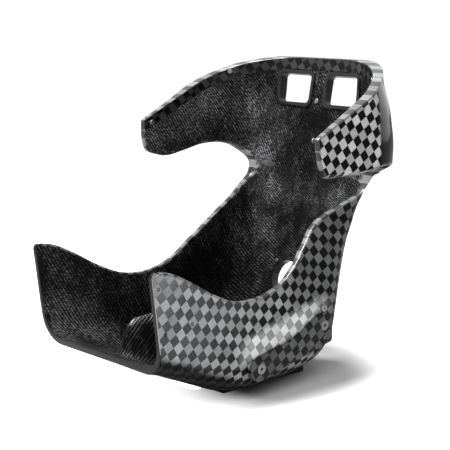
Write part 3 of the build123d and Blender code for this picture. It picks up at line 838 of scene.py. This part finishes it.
# Twill: each tow passes over two and under two, and the steps line up diagonally
twill = {
    "tow": 0.0026, "turn": -14.0, "repeat": 4.0, "over": 1.5,
    "dark": (0.003, 0.003, 0.0033), "light": (0.42, 0.425, 0.435),
    "cloudStretch": 2.2, "cloudLean": 0.8, "cloudScale": 10.0, "cloudDetail": 5.0,
    "alongFleck": 90.0, "acrossFleck": 220.0, "fleckDetail": 3.0,
    "noiseRoughness": 0.7, "contrast": (0.42, 0.66),
    "sheen": 0.14, "clouds": 0.5, "leastSheen": 0.04, "underShine": 0.05, "leastFleck": 0.08,
    "metallic": 0.7, "roughness": 0.45, "shineSmooth": 0.12, "relief": 0.0004, "reliefStrength": 0.8,
    # painted sheen where the cloth shines, or below 0 painted shade where it lies dull: middle, reach,
    # strength; the core has it in full
    "core": 0.15,
    "sheens": [((0.280, 0.137, 0.609), 0.110, 1.9), ((0.291, 0.041, 0.535), 0.060, 1.5),
               ((0.270, 0.213, 0.618), 0.080, 1.3), ((0.198, -0.336, 0.151), 0.090, 2.0),
               ((0.199, -0.260, 0.138), 0.075, 1.6), ((0.190, -0.201, 0.092), 0.070, 1.2),
               ((0.215, 0.284, 0.592), 0.070, 1.0), ((0.167, 0.281, 0.494), 0.060, 1.5),
               ((0.109, 0.260, 0.399), 0.055, 1.1), ((0.116, 0.232, 0.300), 0.050, 0.8),
               ((0.146, 0.186, 0.147), 0.050, 0.6), ((0.187, 0.086, 0.194), 0.150, -0.5),
               ((0.000, 0.300, 0.540), 0.150, -0.4), ((0.000, 0.250, 0.330), 0.120, -0.25)],
}


def twillFinish(finish, paintedHighlight=0.0):
    # the second argument: painted sheen on top of the cloth's own
    tow, clouds = twill["tow"], twill["clouds"]
    across, up = turned(*finish.weaveParts(), twill["turn"])
    iu, iv = (across / tow).floor(), (up / tow).floor()
    fu, fv = (across / tow).fraction(), (up / tow).fraction()
    over = (iu + iv) % twill["repeat"] < twill["over"]
    crownU = 1.0 - ((fu - 0.5) * 2.0).size().power(2.0)
    crownV = 1.0 - ((fv - 0.5) * 2.0).size().power(2.0)
    x, y, z = finish.objectParts()
    x = x.size()
    stretch, cloudLean = twill["cloudStretch"], twill["cloudLean"]
    stretched = finish.vector(x * stretch, y * stretch + z * cloudLean, z)
    cloud = finish.noise(stretched, twill["cloudScale"], twill["cloudDetail"], twill["noiseRoughness"])
    cloud = cloud.between(*twill["contrast"])
    flecks = finish.vector(across * twill["alongFleck"], up * twill["acrossFleck"])
    fleck = finish.noise(flecks, 1.0, twill["fleckDetail"], twill["noiseRoughness"])
    fleck = fleck.between(*twill["contrast"])
    sheen = cloud * clouds + (twill["sheen"] + paintedHighlight)
    place = finish.vector(x, y, z)
    # painted sheen, and painted shade below 0, in soft spots at fixed places, mirrored to both sides
    for middle, reach, strength in twill["sheens"]:
        away = finish.node("ShaderNodeVectorMath", {"operation": "DISTANCE"}, {0: place, 1: middle}, 1)
        spread = away.between(reach, reach * twill["core"])
        sheen = sheen + spread * (cloud * clouds + (1 - clouds)) * strength
    tows = over * (1 - twill["underShine"]) + twill["underShine"]
    flecked = fleck * (1 - twill["leastFleck"]) + twill["leastFleck"]
    shine = tows * flecked * sheen.larger(twill["leastSheen"])
    # the shine, painted sheen included, brightens the colour and makes it metallic and smoother
    finish.set("Base Color", finish.mix(shine, twill["dark"], twill["light"]))
    finish.set("Metallic", shine.smaller(1.0) * twill["metallic"])
    finish.set("Roughness", twill["roughness"] - shine.smaller(1.0) * twill["shineSmooth"])
    finish.bump(over * crownU + (1.0 - over) * crownV, twill["relief"], twill["reliefStrength"])


# Outer cloth. Light and shade are painted into its tows, which brighten and darken over the shell as the
# sheets lie to the light:
# the haze over the front and the paler front are painted light, the duller rear is painted shade. A pair of
# places is where a change starts and ends, in metres.
outerCloth = {
    "dark": (0.003, 0.003, 0.0033), "light": (0.36, 0.365, 0.37),
    "forwardRise": 0.9,
    "hazy": (0.16, 0.52), "hazyDark": (0.095, 0.097, 0.10), "hazyLight": (0.42, 0.425, 0.435),
    "front": (0.53, 0.67), "frontDark": (0.26, 0.263, 0.27),
    "rearRise": 0.5, "rear": (0.07, 0.2), "rearLight": (0.16, 0.163, 0.167),
    # painted glare: a bright strip above the mount block
    "stripZ": 0.150, "stripSlope": 0.23, "stripSpread": (0.038, 0.012), "stripFront": (-0.17, -0.10),
    "stripBack": (0.15, 0.09), "stripDark": (0.42, 0.425, 0.43), "stripLight": (0.80, 0.81, 0.82),
    # painted light and shade on the wings and the back between them, and the plain gloss of the wings' rear
    # corners
    "wing": (0.44, 0.46), "wingDark": (0.003, 0.003, 0.003), "wingLight": (0.60, 0.605, 0.61),
    "behind": (0.185, 0.192), "behindLight": (0.16, 0.163, 0.167),
    "corner": (0.22, 0.25), "cornerLight": (0.006, 0.006, 0.006), "coat": 0.04, "cornerCoat": 0.95,
    # painted shade on the underside: below a line that rises toward the front, the cloth darkens
    "keelY": 0.115, "keelSlope": -0.44, "keel": (0.032, 0.058), "keelShade": 0.06,
}


def outerMasks(finish):
    # where each change of the outer cloth's tone holds: painted light and shade, but for the corners' plain
    # gloss
    sideways, ahead, high = finish.objectParts()
    forward = high * outerCloth["forwardRise"] - ahead
    # painted glare: a band along the side, just above the mount block
    strip = (high - ahead * outerCloth["stripSlope"] - outerCloth["stripZ"]).size()
    strip = strip.between(*outerCloth["stripSpread"]) * ahead.between(*outerCloth["stripFront"])
    wing = high.between(*outerCloth["wing"])
    behind = wing * ahead.between(*outerCloth["behind"])
    # painted shade under the belly: height above the line that rises toward the front
    keel = high - ((ahead + outerCloth["keelY"]) * outerCloth["keelSlope"]).larger(0.0)
    return {
        "hazy": forward.between(*outerCloth["hazy"]), "front": forward.between(*outerCloth["front"]),
        "rear": (ahead + high * outerCloth["rearRise"]).between(*outerCloth["rear"]),
        "strip": strip * ahead.between(*outerCloth["stripBack"]), "wing": wing, "behind": behind,
        "corner": behind * sideways.size().between(*outerCloth["corner"]),
        "shade": keel.between(*outerCloth["keel"], outerCloth["keelShade"], 1.0),
    }


outerFinish = Finish("spreadTowCarbon", (0.4, 0.4, 0.4), coatRoughness=0.08, level=0.05)
masks = outerMasks(outerFinish)
# painted light and shade: each mask lightens or darkens the dark and the light squares
dark, light = outerCloth["dark"], outerCloth["light"]
for where in ("hazy", "front", "strip", "wing"):
    dark = outerFinish.mix(masks[where], dark, outerCloth[where + "Dark"])
for where in ("hazy", "rear", "strip", "wing", "behind", "corner"):
    light = outerFinish.mix(masks[where], light, outerCloth[where + "Light"])
outerFinish.set("Coat Weight", masks["corner"] * outerCloth["cornerCoat"] + outerCloth["coat"])
# the painted shade under the belly darkens all the tows
spreadTowFinish(outerFinish, light, dark, *outerFinish.weaveParts(), masks["shade"])

sideFinish = Finish("spreadTowSide", (0.1, 0.1, 0.1), coat=0.15, coatRoughness=0.1, level=0.08)
spreadTowFinish(sideFinish, (0.11, 0.113, 0.117), (0.004, 0.004, 0.004), *sideFinish.objectParts()[1:])

rimFinish = Finish("spreadTowRim", (0.2, 0.2, 0.2), coat=0.7, coatRoughness=0.08, level=0.3)
spreadTowFinish(rimFinish, (0.24, 0.245, 0.25), (0.03, 0.03, 0.031), *rimFinish.objectParts()[1:])

bandFinish = Finish("spreadTowBand", (0.05, 0.05, 0.05), coat=0.2, coatRoughness=0.1, level=0.06)
spreadTowFinish(bandFinish, (0.045, 0.046, 0.048), (0.004, 0.004, 0.004), *bandFinish.weaveParts())

innerFinish = Finish("twillCarbon", twill["dark"], level=0.04)
twillFinish(innerFinish)

# painted highlight: the divider's crest is given more sheen as it rises
divider = {"crest": (0.165, 0.176), "sheen": 1.3}
dividerFinish = Finish("twillDivider", twill["dark"], level=0.04)
crestHeight = dividerFinish.objectParts()[2]
twillFinish(dividerFinish, crestHeight.between(*divider["crest"], 0.0, divider["sheen"]))

# black edge laminate, with a painted highlight: a pale line where its outer face begins
edge = {"colour": (0.008, 0.008, 0.009), "line": (0.5, 0.5, 0.5), "lineFrom": (0.2088, 0.2098)}
edgeFinish = Finish("edgeLaminate", edge["colour"], roughness=0.35, coat=0.1, coatRoughness=0.1, level=0.15)
outward = edgeFinish.objectParts()[0].size()
edgeFinish.set("Base Color", edgeFinish.mix(outward.between(*edge["lineFrom"]), edge["colour"], edge["line"]))

frameFinish = Finish("frameCarbon", (0.010, 0.010, 0.011), roughness=0.32, coat=0.35, coatRoughness=0.1,
                     level=0.2)
insertFinish = Finish("insertMetal", (0.22, 0.22, 0.225), metallic=1.0, roughness=0.4)
# painted shade: the thigh inserts take a darker copy of the insert metal, so they read as dark holes
shadedInsertFinish = Finish("insertDark", (0.03, 0.03, 0.03), metallic=0.8, roughness=0.5)
screwFinish = Finish("screwMetal", (0.3, 0.3, 0.31), metallic=1.0, roughness=0.35)
footFinish = Finish("footLaminate", (0.01, 0.01, 0.01), roughness=0.5, level=0.2)


def paint(made, finish):
    made.data.materials.clear()
    made.data.materials.append(finish.material)


# the first word that a node's name holds gives its finish; the rest are edge laminate
nodeFinishes = [("mount_block", sideFinish), ("thigh_inserts", shadedInsertFinish), ("insert", insertFinish),
                ("frame", frameFinish), ("ring", frameFinish), ("stud", screwFinish), ("screw", screwFinish),
                ("boss", screwFinish), ("foot_pad", footFinish)]
for name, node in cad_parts.items():
    finish = next((finish for word, finish in nodeFinishes if word in name), edgeFinish)
    paint(fitted.get(name, node), finish)
for made, finish in ((outerSkin, outerFinish), (innerSkin, innerFinish), (rimBead, rimFinish),
                     (topBand, bandFinish), (legDivider, dividerFinish)):
    paint(made, finish)
print("finishes painted")

# Studio: place, size in metres and power of each lamp, all aimed at the middle of the seat
lamps = {"keyLamp": ((-0.65, -0.65, 3.0), 1.0, 120.0), "rightLamp": ((1.9, -1.2, 2.6), 2.2, 40.0)}
studio = {"aim": (0.0, 0.0, 0.38), "fill": 0.16, "floorHalf": 20.0, "floor": (0.93, 0.93, 0.93)}
for name, (place, size, power) in lamps.items():
    data = bpy.data.lights.new(name, "AREA")
    data.shape = "RECTANGLE"
    data.size = size
    data.size_y = size
    data.energy = power
    lamp = bpy.data.objects.new(name, data)
    bpy.context.scene.collection.objects.link(lamp)
    lamp.location = place
    lamp.rotation_euler = (Vector(studio["aim"]) - Vector(place)).to_track_quat("-Z", "Y").to_euler()

bm = bmesh.new()
bmesh.ops.create_grid(bm, x_segments=2, y_segments=2, size=studio["floorHalf"])
floorPlane = newObject(bm, "floor")

# The floor shows its shadow inside an oval round the seat, and fades to white paper outside it
oval = {"turn": 47.5, "shift": 0.14, "along": 0.25, "away": 0.32, "fade": (0.55, 1.15)}
floorFinish = Finish("floorPaper", studio["floor"], roughness=1.0, level=0.0)
floorX, floorY, _ = floorFinish.objectParts()
along, away = turned(floorX, floorY, oval["turn"])
along, away = (along - oval["shift"]) / oval["along"], away / oval["away"]
outside = (along * along + away * away).power(0.5).between(*oval["fade"])
glow = floorFinish.node("ShaderNodeLightPath", {}, {}, "Is Camera Ray") * outside
floorFinish.set("Emission Color", floorFinish.vector(glow, glow, glow))
floorFinish.set("Emission Strength", 1.0)
paint(floorPlane, floorFinish)

world = bpy.data.worlds.new("studio")
bpy.context.scene.world = world
world.use_nodes = True
air = Wiring(world.node_tree)
seen, glossy, through = [air.node("ShaderNodeLightPath", {}, {}, f"Is {kind} Ray")
                           for kind in ("Camera", "Glossy", "Transmission")]
background = air.tree.nodes["Background"]
air.join((1.0, 1.0, 1.0), background.inputs["Color"])
air.join(seen.larger(glossy).larger(through).between(0.0, 1.0, studio["fill"], 1.0),
         background.inputs["Strength"])

# Camera, in metres and degrees: turned about the seat, at a reach from it and a height
view = {"turn": 47.5, "reach": 2.85, "height": 0.88, "tip": 79.6, "lens": 100.0, "sensor": 36.0}
cameraData = bpy.data.cameras.new("camera")
cameraData.lens = view["lens"]
cameraData.sensor_width = view["sensor"]
camera = bpy.data.objects.new("camera", cameraData)
bpy.context.scene.collection.objects.link(camera)
turn = radians(view["turn"])
camera.location = (sin(turn) * view["reach"], -cos(turn) * view["reach"], view["height"])
camera.rotation_euler = (radians(view["tip"]), 0, turn)
bpy.context.scene.camera = camera
bpy.context.scene.view_settings.view_transform = "Standard"
print("studio set")
